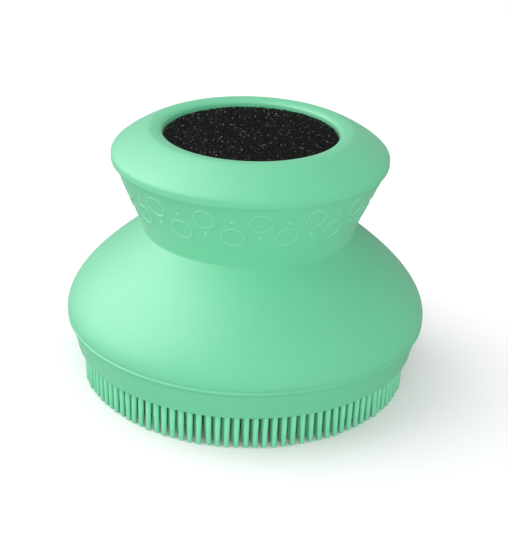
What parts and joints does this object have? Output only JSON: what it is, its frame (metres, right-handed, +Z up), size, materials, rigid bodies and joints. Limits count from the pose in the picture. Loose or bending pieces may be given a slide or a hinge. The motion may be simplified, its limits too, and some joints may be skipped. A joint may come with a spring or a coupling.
{
  "type": "hand-held scrubber",
  "caption": "Hourglass hand-held scrubber with a silicone grip, a push-on bristle pad underneath and a push-in abrasive disc on top.",
  "frame": {"origin": "centre of the plane that the bristle tips stand on", "axes": "+Z up along the axis of revolution, from the bristles to the abrasive disc; -Y is the front, where a maker's mark would be"},
  "size_m": [0.075, 0.075, 0.0538],
  "materials": {
    "grip_silicone": "satin moulded silicone, mint green",
    "pad_silicone": "satin moulded silicone, mint green",
    "abrasive_stone": "coarse open black stone grain with pale specks",
    "core_plastic": "natural moulded plastic",
    "plate_plastic": "natural moulded plastic",
    "tray_plastic": "black moulded plastic",
    "adhesive": "amber translucent adhesive sheet",
    "seal_rubber": "black nitrile rubber",
    "screw_steel": "plain stainless steel"
  },
  "bodies": {
    "grip": {"grip_skin": "grip_silicone", "upper_core": "core_plastic", "lower_core": "core_plastic", "neck_screw": "screw_steel", "base_plate": "plate_plastic", "base_screws": "screw_steel", "seal_ring": "seal_rubber"},
    "bristle_cup": {"bristle_pad": "pad_silicone"},
    "disc_insert": {"abrasive_disc": "abrasive_stone", "disc_adhesive": "adhesive", "stone_tray": "tray_plastic"}
  },
  "joints": [
    {"name": "bristle_pull", "type": "slide", "parent": "grip", "child": "bristle_cup", "axis": [0, 0, -1], "range_m": [0, 0.012]},
    {"name": "disc_pull", "type": "slide", "parent": "grip", "child": "disc_insert", "axis": [0, 0, 1], "range_m": [0, 0.018]}
  ]
}
